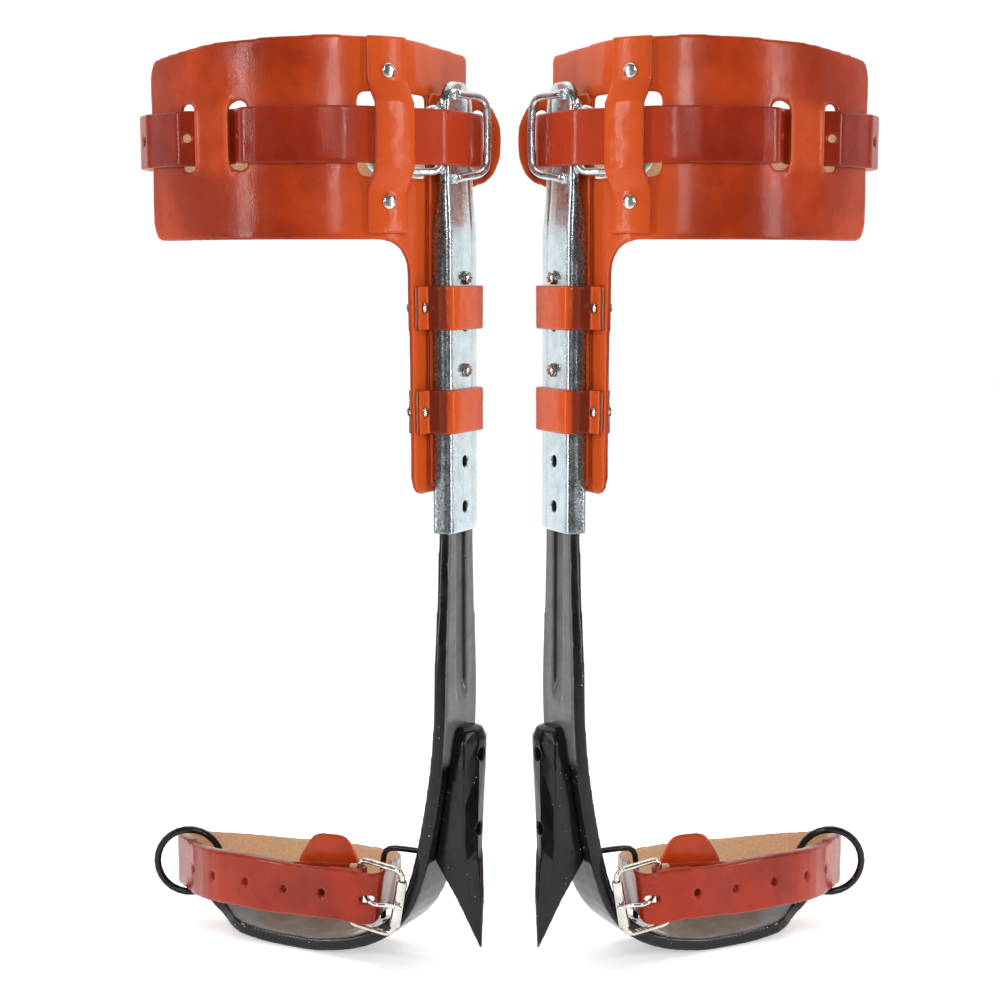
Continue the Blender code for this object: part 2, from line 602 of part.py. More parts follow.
def build_keeper():
    """Riveted leather over the strap; it bulges over the strap and the bracket."""
    spot, tangent = CUFF.at(KEEPER_AT)
    out = outward(tangent)
    flat = (CUFF_THICKNESS + KEEPER_THICKNESS) / 2 + GAP
    crown = WIRE_RADIUS + STRAP_THICKNESS + 0.7 * MM + KEEPER_THICKNESS / 2 + 0.9 * MM
    low, high = CUFF_BOTTOM + 2 * MM, CUFF_TOP - 0.5 * MM
    rows = []
    for k in range(19):
        z = low + (high - low) * k / 18
        swell = ease(415 * MM, 427 * MM, z) * (1 - ease(457 * MM, 470.5 * MM, z))
        rows.append((z, flat + (crown - flat) * swell, swell))
    rings = []
    for i, (z, n, swell) in enumerate(rows):
        before, after = rows[max(i - 1, 0)], rows[min(i + 1, len(rows) - 1)]
        slope = Vector((after[1] - before[1], after[0] - before[0])).normalized()
        ring = []
        for side, row in ((1, range(7)), (-1, range(6, -1, -1))):
            for j in row:
                shank_side = KEEPER_WIDTH / 2 + 1.0 * MM * swell
                front_side = KEEPER_WIDTH / 2 - 2.6 * MM * swell
                u = -shank_side + (shank_side + front_side) * j / 6
                base, t = CUFF.at(KEEPER_AT + u)
                drop = outward(t)
                shift = n + side * KEEPER_THICKNESS / 2 * slope.y
                ring.append(Vector((base.x + drop.x * shift, base.y + drop.y * shift,
                                    z - side * KEEPER_THICKNESS / 2 * slope.x)))
        rings.append(ring)
    holes = [turned([(RIVET_SHANK + GAP, 0), (RIVET_SHANK + GAP, 20 * MM)], spot - out * 5 * MM
             + Vector((0, 0, z)), out, 12) for z in KEEPER_RIVETS]
    piece("keeper", boolean(loft(rings), holes), "leather")
    stack = CUFF_THICKNESS + KEEPER_THICKNESS + GAP
    for label, z in zip(("upper", "lower"), KEEPER_RIVETS):
        base = spot - out * CUFF_THICKNESS / 2 + Vector((0, 0, z))
        piece(f"keeper_rivet_{label}", rivet(base, out, stack, KEEPER_RIVET_HEAD), "nickel")


def rivet(base, axis, stack, head):
    """A tubular rivet through a stack of leather, a domed head on each side."""
    profile = [(0, -1.3 * MM - GAP), (head * 0.6, -1.2 * MM - GAP), (head * 0.95, -0.5 * MM - GAP),
               (head * 0.95, -GAP), (RIVET_SHANK, -GAP), (RIVET_SHANK, stack + GAP), (head, stack + GAP),
               (head, stack + GAP + 0.4 * MM), (head * 0.85, stack + GAP + 1.0 * MM),
               (head * 0.5, stack + GAP + 1.5 * MM), (0, stack + GAP + 1.6 * MM)]
    return turned(profile, base, axis, 10)


def build_tail_loops():
    """Leather bands that hold the tail on the sleeve, riveted through the tail."""
    t = LOOP_THICKNESS / MM
    near = TAIL_X / MM + CUFF_THICKNESS / MM / 2 + 2 * GAP / MM + t / 2
    far = TAIL_X / MM - CUFF_THICKNESS / MM / 2 - GAP / MM - t / 2
    out = SLEEVE_FACE / MM + 0.35 + 0.5 + t / 2
    plan = [(near, -28.6), (near, -25), (near, -21.0), (near + 0.3, -19.6), (-8.6, -18.7), (-6.8, -18.6),
            (-2, -18.7), (2.2, -18.0), (out - 0.1, -14.8), (out, -7), (out, 0), (out, 7),
            (out - 0.1, 14.8), (2.0, 18.1), (-3, 18.7), (-9, 18.8), (-13.5, 18.6), (-16.2, 16.2),
            (far, 11), (far, 0), (far, -11), (far, -19), (far, -24.9)]
    route = thinned([Vector((x, y, 0)) * MM for x, y in catmull([Vector(p) for p in plan], 4)])
    stack = CUFF_THICKNESS + 3 * GAP + 2 * LOOP_THICKNESS
    for label, z in (("upper", UPPER_LOOP_Z), ("lower", LOWER_LOOP_Z)):
        line = [Vector((p.x, p.y, z)) for p in route]
        band = ribbon(line, LOOP_HEIGHT, LOOP_THICKNESS)
        hole = turned([(RIVET_SHANK + GAP, 0), (RIVET_SHANK + GAP, 16 * MM)],
                      (TAIL_X - 8 * MM, TAIL_RIVET_Y, z), (1, 0, 0), 12)
        piece(f"tail_loop_{label}", boolean(band, [hole]), "leather")
        base = Vector((far * MM - LOOP_THICKNESS / 2, TAIL_RIVET_Y, z))
        piece(f"tail_rivet_{label}", rivet(base, (1, 0, 0), stack, TAIL_RIVET_HEAD), "nickel")


# Buckled straps ---------------------------------------------------------------------------------
class Buckle:
    """A roller buckle: its pivot bar's middle, the way its strap runs past it, and how it stands."""

    def __init__(self, pivot, along, width, tilt=0.0, lean=0.0):
        self.width = width
        self.pivot = Vector(pivot) * MM
        self.level_run = Vector((along[0], along[1], 0)).normalized()
        level_out = Vector((self.level_run.y, -self.level_run.x, 0))
        self.slant = self.level_run * tilt + level_out * lean
        self.rise = (Vector((0, 0, 1)) + self.slant).normalized()
        self.out = (level_out - self.rise * level_out.dot(self.rise)).normalized()
        self.run = self.rise.cross(self.out)

    def place(self, along, out, up=0.0):
        """A point by its distances in millimetres from the pivot bar's middle."""
        return self.pivot + (self.run * along + self.out * out + self.rise * up) * MM

    def block(self, along, out, up):
        """A box in the buckle's own directions, from (low, high) distances in millimetres."""
        corners = [(along[0], out[0]), (along[1], out[0]), (along[1], out[1]), (along[0], out[1])]
        return loft([[self.place(u, v, w) for u, v in corners] for w in (-up, up)])


def build_buckle(name, buckle):
    """Frame, roller and prong; frame and prong turn about the pivot bar's line."""
    half = buckle.width / 2 / MM + 4.2
    length = BUCKLE_LENGTH / MM
    bend = 5.0
    corners = rounded([(0, -half, 3), (length, -half, bend), (length, half, bend), (0, half, 3)], 3)
    ring = [buckle.place(u / MM, 0, v / MM) for u, v in corners]
    piece(f"{name}_frame", tube(ring, BUCKLE_WIRE, closed=True), "nickel", buckle.pivot)
    reach = half - bend - 0.6
    sleeve = []
    for radius, up in ((ROLLER_BORE, -reach), (ROLLER_RADIUS, -reach), (ROLLER_RADIUS, reach),
                       (ROLLER_BORE, reach)):
        sleeve.append([buckle.place(length + radius / MM * cos(2 * pi * k / 18),
                                    radius / MM * sin(2 * pi * k / 18), up) for k in range(18)])
    piece(f"{name}_roller", loft(sleeve, closed=True), "nickel", buckle.place(length, 0))
    piece(f"{name}_prong", tube(prong_route(buckle), PRONG_RADIUS, sides=6), "nickel", buckle.pivot)


def prong_route(buckle):
    """Hook round the pivot bar, up through the strap's hole, down on the roller."""
    grip = (BUCKLE_WIRE + PRONG_RADIUS) / MM + 0.3
    hook = [(grip * cos(a), grip * sin(a)) for a in [radians(d) for d in range(75, 346, 30)]]
    rest = (ROLLER_RADIUS + PRONG_RADIUS) / MM + 0.3
    length = BUCKLE_LENGTH / MM
    shaft = [(5.2, 0.3), (8.0, 3.4), (10.8, 7.0), (15, 7.6), (length - 6, rest + 1.2), (length, rest),
             (length + 3.2, rest - 0.7)]
    flat = hook + [(p.x, p.y) for p in catmull([Vector((u, v, 0)) for u, v in shaft], 2)]
    return [buckle.place(u, v) for u, v in flat]


def strap_fold(buckle):
    """The strap's fixed end, folded round the pivot bar; it ends on the bar's leg side."""
    fold = (BUCKLE_WIRE + STRAP_THICKNESS / 2) / MM + 0.6
    wrap = [(fold * cos(a), fold * sin(a)) for a in [radians(d) for d in range(70, -71, -20)]]
    flat = [(-16, fold), (-8, fold), (0, fold)] + wrap + [(0, -fold)]
    return [buckle.place(u, v) for u, v in flat]


def strap_pass(buckle, entry):
    """The strap's free end coming in by the entry points, then over the pivot bar."""
    over = (BUCKLE_WIRE + STRAP_THICKNESS * 1.5) / MM + 1.2
    return [buckle.place(u, v) for u, v in entry + ((0, over), (-7, over + 0.1), (-17, over))]


def buckled_strap(name, buckle, entry, loop, tip_length, holes):
    """One strap: folded on the pivot bar, round its loop, through the buckle and on to its tip."""
    fixed, through = strap_fold(buckle), strap_pass(buckle, entry)
    for p in fixed + through:
        p.z = min(p.z, buckle.pivot.z)
    inner = Track(catmull([fixed[-1]] + loop + through[:1], 5))
    layer = STRAP_THICKNESS + 0.9 * MM
    tip = []
    for k in range(round(tip_length / (7 * MM))):
        spot, tangent = inner.at(40 * MM + k * 7 * MM)
        tip.append(spot + Vector((-tangent.y, tangent.x, 0)).normalized() * layer)
    whole = catmull(fixed, 3)[:-1] + inner.points[:-1] + catmull(through + tip, 4)
    line = thinned(whole)
    rises = []
    for p in line:
        near = ease(60 * MM, 25 * MM, (p - buckle.pivot).length)
        rises.append(Vector((0, 0, 1)) + buckle.slant * near)
    track = Track(line)
    crossing = track.nearest(buckle.place(9.0, 4.6))
    cuts = [buckle.block((-5.6, 5.4), (-6.8, 5.0), 1.9), buckle.block((4.4, 12.0), (0.5, 9.5), 1.9)]
    for offset in holes:
        spot, tangent = track.at(crossing + offset)
        out = outward(tangent)
        cuts.append(turned([(2.2 * MM, 0), (2.2 * MM, 4.2 * MM)], spot - out * 2.1 * MM, out, 10))
    piece(name, boolean(ribbon(line, buckle.width, STRAP_THICKNESS, rises), cuts), "leather")
    return inner


CALF_BUCKLE = Buckle((-86, 80, STRAP_HEIGHT / MM), (-1, 0), STRAP_WIDTH)
ANKLE_BUCKLE = Buckle((-49.1, -30.6, 43.3), (0.98, 0.19), ANKLE_WIDTH, tilt=0.21, lean=0.12)
CALF_ENTRY = ((29, -4.7), (24, -4.6), (19.5, -3.6), (14.5, 0.2), (10, 4.3), (5, 5.6))
ANKLE_ENTRY = ((12.6, -4.5), (12.7, -1), (11.6, 2.8), (8, 5.3), (4, 6.5))
CALF_BACK_RIGHT = ((-72, 76.2), (-60, 73), (-38, 62), (-20, 49), (-10.8, 39), (-6.1, 32.2),
                   (-1.8, 26), (2.0, 19.5))
CALF_LEFT = ((-167.2, -45), (-171.6, -27), (-174, -3), (-170, 21), (-159, 44), (-143, 61.5), (-127, 73.3))
ANKLE_LOOP = ((-62, -29.2, 43), (-78, -31.5, 42), (-91, -34, 41), (-118, -32, 40.8), (-142.3, -25.8, 38.5),
              (-161.5, -13.3, 35.5), (-176.3, -0.4, 34), (-187.5, 9, 32), (-192.6, 17, 30), (-192.3, 25, 28),
              (-186.5, 32.5, 26.5), (-168, 39.5, 25.5), (-137, 43.5, 26), (-106, 44.5, 27.5),
              (-80, 41, 29), (-63, 34.5, 31), (-52, 23, 33.5), (-47, 9, 36.5), (-44, -4, 39.5),
              (-41, -12.5, 41), (-39.2, -18.2, 41.5))


def build_calf_strap():
    around = [Vector((x * MM, y * MM, 0)) for x, y in CALF_BACK_RIGHT] + strap_route()
    around += [Vector((x * MM, y * MM, 0)) for x, y in CALF_LEFT]
    for p in around:
        p.z = STRAP_HEIGHT
    buckled_strap("calf_strap", CALF_BUCKLE, CALF_ENTRY, around, 35 * MM,
                  [k * CALF_HOLE_STEP for k in (-7, -6, -5, -4, -3, -2, -1, 1)])
    build_buckle("calf_buckle", CALF_BUCKLE)


def build_ankle_strap():
    around = [Vector(p) * MM for p in ANKLE_LOOP]
    inner = buckled_strap("ankle_strap", ANKLE_BUCKLE, ANKLE_ENTRY, around, 119 * MM,
                          [k * HOLE_STEP for k in (1, 2, 3, 4, 5)])
    build_buckle("ankle_buckle", ANKLE_BUCKLE)
    behind = STRAP_THICKNESS / 2 + 1.2 * MM + 0.6 * MM
    flat = []
    for k in range(10):
        spot, tangent = inner.at(k * 4 * MM)
        flat.append(Vector((spot.x + tangent.y * behind, spot.y - tangent.x * behind, 0)))
    outline = rounded([(0, 41, 5), (35, 41, 5), (35, 57, 8), (26, 71.5, 8), (7, 71.5, 8), (0, 58, 7)], 3)
    piece("ankle_strap_tab", bent_sheet(outline, [], 2.4 * MM, Track(flat)), "leather")


def build_staple():
    """A wire bridge from the shank's inner face to the stirrup; it holds the ankle strap back."""
    route = [(-19.8, 8, 57), (-32, 8, 57), (-46, 8, 56.6), (-51.6, 8, 54.5), (-53.6, 8, 48.5),
             (-53.9, 8, 34), (-53.9, 8, 22), (-53.7, 8, 12)]
    rod = tube([p * MM for p in catmull(route, 2)], 1.8 * MM, sides=8)
    piece("ankle_staple", boolean(rod, [bar(GAP)]), "black_paint")


SIDES = (("left", 1), ("right", -1))

MATERIALS = {
    "black_paint": ((0.02, 0.02, 0.022, 1), 0.25, 0.0),
    "zinc": ((0.72, 0.78, 0.82, 1), 0.3, 1.0),
    "nickel": ((0.78, 0.75, 0.70, 1), 0.2, 1.0),
    "steel_screw": ((0.20, 0.20, 0.21, 1), 0.4, 1.0),
    "leather": ((0.72, 0.16, 0.04, 1), 0.4, 0.0),
}


def make_material(name):
    colour, roughness, metallic = MATERIALS[name]
    material = bpy.data.materials.new(name)
    material.use_nodes = True
    shader = material.node_tree.nodes["Principled BSDF"]
    shader.inputs["Base Color"].default_value = colour
    shader.inputs["Roughness"].default_value = roughness
    shader.inputs["Metallic"].default_value = metallic
    return material


def place_pair():
    """Put every piece on an empty for its side; the right spur is the mirror image."""
    for side, sign in SIDES:
        stand = bpy.data.objects.new(f"{side}_spur", None)
        bpy.context.scene.collection.objects.link(stand)
        stand.location = (SPUR_OFFSET.x * sign, SPUR_OFFSET.y, 0)
        stand.rotation_euler = (0, 0, -SPUR_TURN * sign)
        for name, bm, material, pivot in PIECES:
            mesh = bpy.data.meshes.new(f"{side}_{name}")
            bm.to_mesh(mesh)
            mesh.transform(Matrix.Translation(-pivot))
            if sign < 0:
                mesh.transform(Matrix.Scale(-1, 4, (1, 0, 0)))
                mesh.flip_normals()
            mesh.materials.append(make_material(material))
            mesh.shade_smooth()
            mesh.set_sharp_from_angle(angle=radians(35))
            thing = bpy.data.objects.new(f"{side}_{name}", mesh)
            thing.parent = stand
            thing.location = (pivot.x * sign, pivot.y, pivot.z)
            bpy.context.scene.collection.objects.link(thing)


def main():
    for thing in list(bpy.data.objects):
        bpy.data.objects.remove(thing)
    build_leg_iron()
    build_ankle_ring()
    build_gaff()
    build_sleeve()
    build_strap_loop()
    build_pad_bracket()
    build_cuff()
    build_backing()
    build_keeper()
    build_tail_loops()
    build_calf_strap()
    build_ankle_strap()
    build_staple()
    place_pair()


main()
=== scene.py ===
"""Looks for the pair of tree climbing spurs: leather, zinc, nickel and black paint.

Each piece is made for the left spur, and the right one gets its mirror image.
"""

import json
from math import cos, pi, radians, sin

import bmesh
import bpy
import numpy as np
from mathutils import Matrix, Vector, noise


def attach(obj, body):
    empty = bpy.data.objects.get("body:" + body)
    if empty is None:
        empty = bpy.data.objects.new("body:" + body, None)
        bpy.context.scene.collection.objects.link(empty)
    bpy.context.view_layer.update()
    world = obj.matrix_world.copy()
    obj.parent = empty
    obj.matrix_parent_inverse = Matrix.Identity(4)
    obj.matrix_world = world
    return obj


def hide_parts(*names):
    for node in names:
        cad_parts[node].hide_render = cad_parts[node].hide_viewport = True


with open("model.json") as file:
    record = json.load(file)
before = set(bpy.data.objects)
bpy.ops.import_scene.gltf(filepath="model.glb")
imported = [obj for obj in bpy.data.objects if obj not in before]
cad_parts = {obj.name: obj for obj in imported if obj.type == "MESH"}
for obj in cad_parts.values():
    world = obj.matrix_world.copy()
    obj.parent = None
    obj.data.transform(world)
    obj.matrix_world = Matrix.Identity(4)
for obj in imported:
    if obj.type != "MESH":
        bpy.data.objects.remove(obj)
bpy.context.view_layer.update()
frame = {"nodes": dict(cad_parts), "record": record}
MM = 0.001

# The left spur's own directions: +X to the gaff side, -Y to the front, turned about the vertical
SPUR_TURN = radians(25.5)
SPUR_AT = np.array((-25.5, -40.75, 0)) * MM
TURN = np.array(((cos(SPUR_TURN), sin(SPUR_TURN), 0), (-sin(SPUR_TURN), cos(SPUR_TURN), 0), (0, 0, 1)))
# Plan points that the leather curves round
CALF_MIDDLE = np.array((-92, 5)) * MM
ANKLE_MIDDLE = np.array((-118, 8)) * MM
SLEEVE_MIDDLE = np.array((-5, 0)) * MM
TAIL_X = -13.6 * MM         # middle of the cuff's tail, between the bands' two riveted layers
RIVETED_Y = -19.3 * MM      # in front of this the bands lie on the tail
STRAP_HEIGHT = 442.5 * MM   # centre line of the calf strap
SLOT_EDGES = (-92.7 * MM, -116.8 * MM)  # the two sides of the cuff's bridge between its slots
# The buckle bars that the straps fold round
CALF_PIVOT = np.array((-86, 80, 442.5)) * MM
ANKLE_PIVOT = np.array((-49.1, -30.6, 43.3)) * MM
FOLD_RADIUS = 3.6 * MM      # outside of this the strap's grain shows round a buckle's bar
FOLD_REACH = 5.3 * MM
CREASE_Y = 7.5 * MM         # the crease down the sleeve's face
CREASE_WIDTH = 1.3 * MM
CREASE_DEPTH = 0.35 * MM
CREASED = ("keeper", "tail_loop_upper", "tail_loop_lower", "ankle_strap_tab")

BODY_OF = {node: body for body, nodes in frame["record"]["behaviour"]["bodies"].items()
           for node in nodes}


def to_spur(points):
    """World points in the left spur's own directions."""
    return (points - SPUR_AT) @ TURN


def to_world(points):
    """The left spur's own points in the world."""
    return points @ TURN.T + SPUR_AT


# Node materials ---------------------------------------------------------------------------------
class Nodes:
    """A material's node tree, built with short calls."""

    def __init__(self, name):
        self.material = bpy.data.materials.new(name)
        self.material.use_nodes = True
        self.tree = self.material.node_tree
        self.shader = self.tree.nodes["Principled BSDF"]
        self.coords = self.tree.nodes.new("ShaderNodeTexCoord").outputs["Object"]

    def link(self, source, socket):
        """A wire between two sockets."""
        self.tree.links.new(source, socket)

    def put(self, node, socket, value):
        """Feed a socket from another one, or give it a plain value."""
        if isinstance(value, bpy.types.NodeSocket):
            self.link(value, node.inputs[socket])
        else:
            node.inputs[socket].default_value = value

    def stretched(self, scale):
        """Coordinates drawn out by a scale for each direction."""
        node = self.tree.nodes.new("ShaderNodeMapping")
        self.put(node, "Vector", self.coords)
        node.inputs["Scale"].default_value = scale
        return node.outputs["Vector"]

    def noise(self, scale, detail=4.0, roughness=0.55, distortion=0.0, vector=None):
        """Cloudy noise from 0 to 1; scale is in clouds a metre."""
        node = self.tree.nodes.new("ShaderNodeTexNoise")
        self.put(node, "Vector", vector or self.coords)
        for socket, value in (("Scale", scale), ("Detail", detail), ("Roughness", roughness),
                              ("Distortion", distortion)):
            self.put(node, socket, value)
        return node.outputs["Fac"]

    def cells(self, scale):
        """Distance to the nearest of many scattered spots."""
        node = self.tree.nodes.new("ShaderNodeTexVoronoi")
        self.put(node, "Vector", self.coords)
        self.put(node, "Scale", scale)
        return node.outputs["Distance"]

    def range(self, value, low, high, to_low=0.0, to_high=1.0):
        """A smooth step from to_low at low to to_high at high."""
        node = self.tree.nodes.new("ShaderNodeMapRange")
        node.interpolation_type = "SMOOTHSTEP"
        for socket, number in (("Value", value), ("From Min", low), ("From Max", high),
                               ("To Min", to_low), ("To Max", to_high)):
            self.put(node, socket, number)
        return node.outputs["Result"]

    def math(self, kind, a, b=0.0):
        """One step of arithmetic on two values."""
        node = self.tree.nodes.new("ShaderNodeMath")
        node.operation = kind
        self.put(node, 0, a)
        self.put(node, 1, b)
        return node.outputs["Value"]

    def mix(self, factor, a, b):
        """Colour a where factor is 0 and colour b where it's 1."""
        node = self.tree.nodes.new("ShaderNodeMix")
        node.data_type = "RGBA"
        self.put(node, "Factor", factor)
        for socket, value in (("A", a), ("B", b)):
            target = [s for s in node.inputs if s.name == socket and s.type == "RGBA"][0]
            if isinstance(value, bpy.types.NodeSocket):
                self.link(value, target)
            else:
                target.default_value = (*value, 1.0)
        return [s for s in node.outputs if s.type == "RGBA"][0]

    def attribute(self, name):
        """A number that set_value gave each point of the mesh."""
        node = self.tree.nodes.new("ShaderNodeAttribute")
        node.attribute_name = name
        return node.outputs["Fac"]

    def pointiness(self):
        """Above 0.5 on convex edges."""
        return self.tree.nodes.new("ShaderNodeNewGeometry").outputs["Pointiness"]

    def bump(self, *layers):
        """Height layers as (value, distance in metres, strength), added one on another."""
        normal = None
        for height, distance, strength in layers:
            node = self.tree.nodes.new("ShaderNodeBump")
            self.put(node, "Height", height)
            self.put(node, "Distance", distance)
            self.put(node, "Strength", strength)
            if normal is not None:
                self.link(normal, node.inputs["Normal"])
            normal = node.outputs["Normal"]
        self.link(normal, self.shader.inputs["Normal"])


def leather(name, bright, deep, edge, flesh, gloss):
    """Grain side with pores and colour clouds, napped flesh side, burnished cut edge."""
    m = Nodes(name)
    side = m.attribute("side")
    painted_highlight = m.attribute("painted_highlight")
    clouds = m.noise(18, 5, 0.6)
    streaks = m.noise(140, 3, 0.5)
    grain_colour = m.mix(m.range(clouds, 0.35, 0.68), deep, bright)
    darker = tuple(c * 0.72 for c in deep)
    grain_colour = m.mix(m.range(streaks, 0.58, 0.8, 0, 0.35), grain_colour, darker)
    # painted highlight: paler grain on faces toward the gaff side and on the cuff's pushed-out bridge
    # and slot lips
    paler = tuple(c * k for c, k in zip(bright, (1.5, 2.1, 2.4)))
    grain_colour = m.mix(m.math("MULTIPLY", painted_highlight, 0.8), grain_colour, paler)
    nap = m.noise(900, 6, 0.75)
    flesh_dark = tuple(c * 0.80 for c in flesh)
    flesh_colour = m.mix(m.range(nap, 0.42, 0.62), flesh_dark, flesh)
    is_grain = m.range(side, 0.15, 0.5)
    is_flesh = m.range(side, -0.2, -0.5)
    colour = m.mix(is_grain, edge, grain_colour)
    colour = m.mix(is_flesh, colour, flesh_colour)
    m.link(colour, m.shader.inputs["Base Color"])
    uneven = m.range(m.noise(60, 4, 0.6), 0.3, 0.7, gloss, gloss + 0.10)
    matt = m.range(is_flesh, 0, 1, 0.0, 0.5)
    m.link(m.math("ADD", uneven, matt), m.shader.inputs["Roughness"])
    m.shader.inputs["Specular IOR Level"].default_value = 0.26
    pores = m.cells(900)
    creases = m.noise(420, 5, 0.6, 0.4)
    fuzz = m.math("MULTIPLY", is_flesh, nap)
    m.bump((creases, 0.00022, 0.22), (pores, 0.00014, 0.20), (fuzz, 0.0006, 0.8))
    return m.material


def zinc():
    """Bright zinc plate on pressed steel: soft spangle, drawn lines, dents and front flanges darkened as
    painted shade.
    """
    m = Nodes("zinc_plate")
    spangle = m.noise(90, 4, 0.6, 0.6)
    fine = m.noise(900, 5, 0.7)
    colour = m.mix(m.range(spangle, 0.3, 0.7), (0.58, 0.67, 0.70), (0.72, 0.82, 0.85))
    colour = m.mix(m.range(fine, 0.62, 0.8, 0, 0.35), colour, (0.34, 0.38, 0.41))
    grain = m.range(fine, 0.4, 0.62, 0.55, 1.0)
    # painted shade: the front-facing flange darkened to a dark grey
    painted_flange_shade = m.math("MULTIPLY", m.range(m.attribute("flange"), 0.35, 0.75), grain)
    colour = m.mix(painted_flange_shade, colour, (0.13, 0.135, 0.14))
    m.link(colour, m.shader.inputs["Base Color"])
    m.shader.inputs["Metallic"].default_value = 1.0
    m.link(m.range(m.noise(160, 4, 0.6), 0.3, 0.7, 0.20, 0.34), m.shader.inputs["Roughness"])
    drawn = m.noise(260, 3, 0.5, 0, m.stretched((1, 1, 0.06)))
    m.bump((spangle, 0.0005, 0.12), (m.noise(420, 4, 0.6), 0.00016, 0.40), (drawn, 0.0001, 0.25))
    return m.material


def black_paint():
    """Gloss black paint over forged steel: orange peel, dust specks, worn edges, and lighter grey faces:
    a painted sheen on the shank's gaff side and wear where the boot stands.
    """
    m = Nodes("black_paint")
    cloud = m.noise(30, 4, 0.6)
    colour = m.mix(m.range(cloud, 0.3, 0.7), (0.003, 0.003, 0.004), (0.010, 0.010, 0.011))
    specks = m.cells(330)
    dust = m.math("MULTIPLY", m.range(specks, 0.16, 0.10), m.range(m.noise(60, 3), 0.53, 0.62))
    colour = m.mix(dust, colour, (0.40, 0.40, 0.41))
    worn = m.math("MULTIPLY", m.range(m.pointiness(), 0.535, 0.60), m.range(m.noise(300, 4), 0.45, 0.65))
    colour = m.mix(m.math("MULTIPLY", worn, 0.5), colour, (0.16, 0.16, 0.17))
    # lighter grey base colour: a painted sheen on the shank's gaff side, real wear on the tread
    uneven_sheen_and_wear = m.range(m.noise(90, 4, 0.6), 0.2, 0.8, 0.6, 1.0)
    sheen_and_wear = m.math("MULTIPLY", m.range(m.attribute("painted_sheen_and_wear"), 0.55, 0.9), uneven_sheen_and_wear)
    colour = m.mix(sheen_and_wear, colour, (0.17, 0.168, 0.164))
    m.link(colour, m.shader.inputs["Base Color"])
    m.link(m.range(m.noise(120, 4, 0.6), 0.3, 0.7, 0.12, 0.26), m.shader.inputs["Roughness"])
    m.shader.inputs["Specular IOR Level"].default_value = 0.32
    peel = m.noise(380, 4, 0.6)
    m.bump((m.noise(45, 3, 0.5), 0.0010, 0.20), (peel, 0.00015, 0.25), (dust, 0.0002, 0.6))
    return m.material


def nickel(name, tone, rough, milled=False):
    """Polished nickel plate with hairline scratches; milled parts carry fine ridges."""
    m = Nodes(name)
    haze = m.noise(70, 4, 0.6)
    darker = tuple(c * 0.72 for c in tone)
    m.link(m.mix(m.range(haze, 0.3, 0.72), darker, tone), m.shader.inputs["Base Color"])
    m.shader.inputs["Metallic"].default_value = 1.0
    m.link(m.range(m.noise(300, 4, 0.6), 0.3, 0.7, rough, rough + 0.14), m.shader.inputs["Roughness"])
    layers = [(m.noise(500, 3, 0.6), 0.00006, 0.25)]
    if milled:
        node = m.tree.nodes.new("ShaderNodeTexWave")
        node.bands_direction = "DIAGONAL"
        m.put(node, "Vector", m.coords)
        m.put(node, "Scale", 230.0)
        m.put(node, "Distortion", 0.6)
        layers.append((node.outputs["Fac"], 0.0002, 0.30))
    m.bump(*layers)
    return m.material


def dark_steel():
    """Oiled dark steel of the gaff's screws."""
    m = Nodes("oiled_steel")
    m.link(m.mix(m.noise(200), (0.05, 0.05, 0.055), (0.16, 0.16, 0.17)), m.shader.inputs["Base Color"])
    m.shader.inputs["Metallic"].default_value = 1.0
    m.link(m.range(m.noise(500), 0.3, 0.7, 0.3, 0.5), m.shader.inputs["Roughness"])
    m.bump((m.noise(600), 0.0002, 0.4))
    return m.material


CUFF_LEATHER = leather("cuff_leather", bright=(0.53, 0.055, 0.008), deep=(0.31, 0.027, 0.005),
                       edge=(0.20, 0.028, 0.009), flesh=(0.82, 0.48, 0.27), gloss=0.17)
STRAP_LEATHER = leather("strap_leather", bright=(0.38, 0.028, 0.007), deep=(0.22, 0.015, 0.005),
                        edge=(0.26, 0.050, 0.018), flesh=(0.82, 0.49, 0.28), gloss=0.15)
ZINC = zinc()
BLACK = black_paint()
NICKEL = nickel("nickel_plate", (0.80, 0.78, 0.74), 0.10)
BUCKLE_NICKEL = nickel("buckle_nickel", (0.82, 0.77, 0.69), 0.12, milled=True)
DARK_STEEL = dark_steel()


# Meshes -----------------------------------------------------------------------------------------
def evaluated(thing):
    """The mesh as its modifiers leave it."""
    bpy.context.view_layer.update()
    return bpy.data.meshes.new_from_object(thing.evaluated_get(bpy.context.evaluated_depsgraph_get()))


def welded(node):
    """A node's mesh with its split corners joined again."""
    bm = bmesh.new()
    bm.from_mesh(frame["nodes"][node].data)
    bmesh.ops.remove_doubles(bm, verts=bm.verts, dist=0.002 * MM)
    mesh = bpy.data.meshes.new(node)
    bm.to_mesh(mesh)
    bm.free()
    return mesh


def add(name, mesh):
    """A new object in the scene."""
    thing = bpy.data.objects.new(name, mesh)
    bpy.context.scene.collection.objects.link(thing)
    return thing


def remeshed(node, voxel, rounds):
    """A node's shape as a fine even mesh with its corners worn round."""
    source = add("source", welded(node))
    fine = source.modifiers.new("fine", "REMESH")
    fine.mode = "VOXEL"
    fine.voxel_size = voxel
    worn = source.modifiers.new("worn", "SMOOTH")
    worn.factor = 0.5
    worn.iterations = rounds
    mesh = evaluated(source)
    bpy.data.objects.remove(source)
    return mesh


def points_of(mesh):
    """A mesh's points as rows of an array."""
    flat = np.empty(len(mesh.vertices) * 3, np.float32)
    mesh.vertices.foreach_get("co", flat)
    return flat.reshape(-1, 3).astype(float)


def normals_of(mesh):
    """A mesh's normals, one for each point."""
    flat = np.empty(len(mesh.vertices) * 3, np.float32)
    mesh.vertex_normals.foreach_get("vector", flat)
    return flat.reshape(-1, 3).astype(float)


def set_points(mesh, points):
    """Move a mesh's points."""
    mesh.vertices.foreach_set("co", points.astype(np.float32).ravel())
    mesh.update()


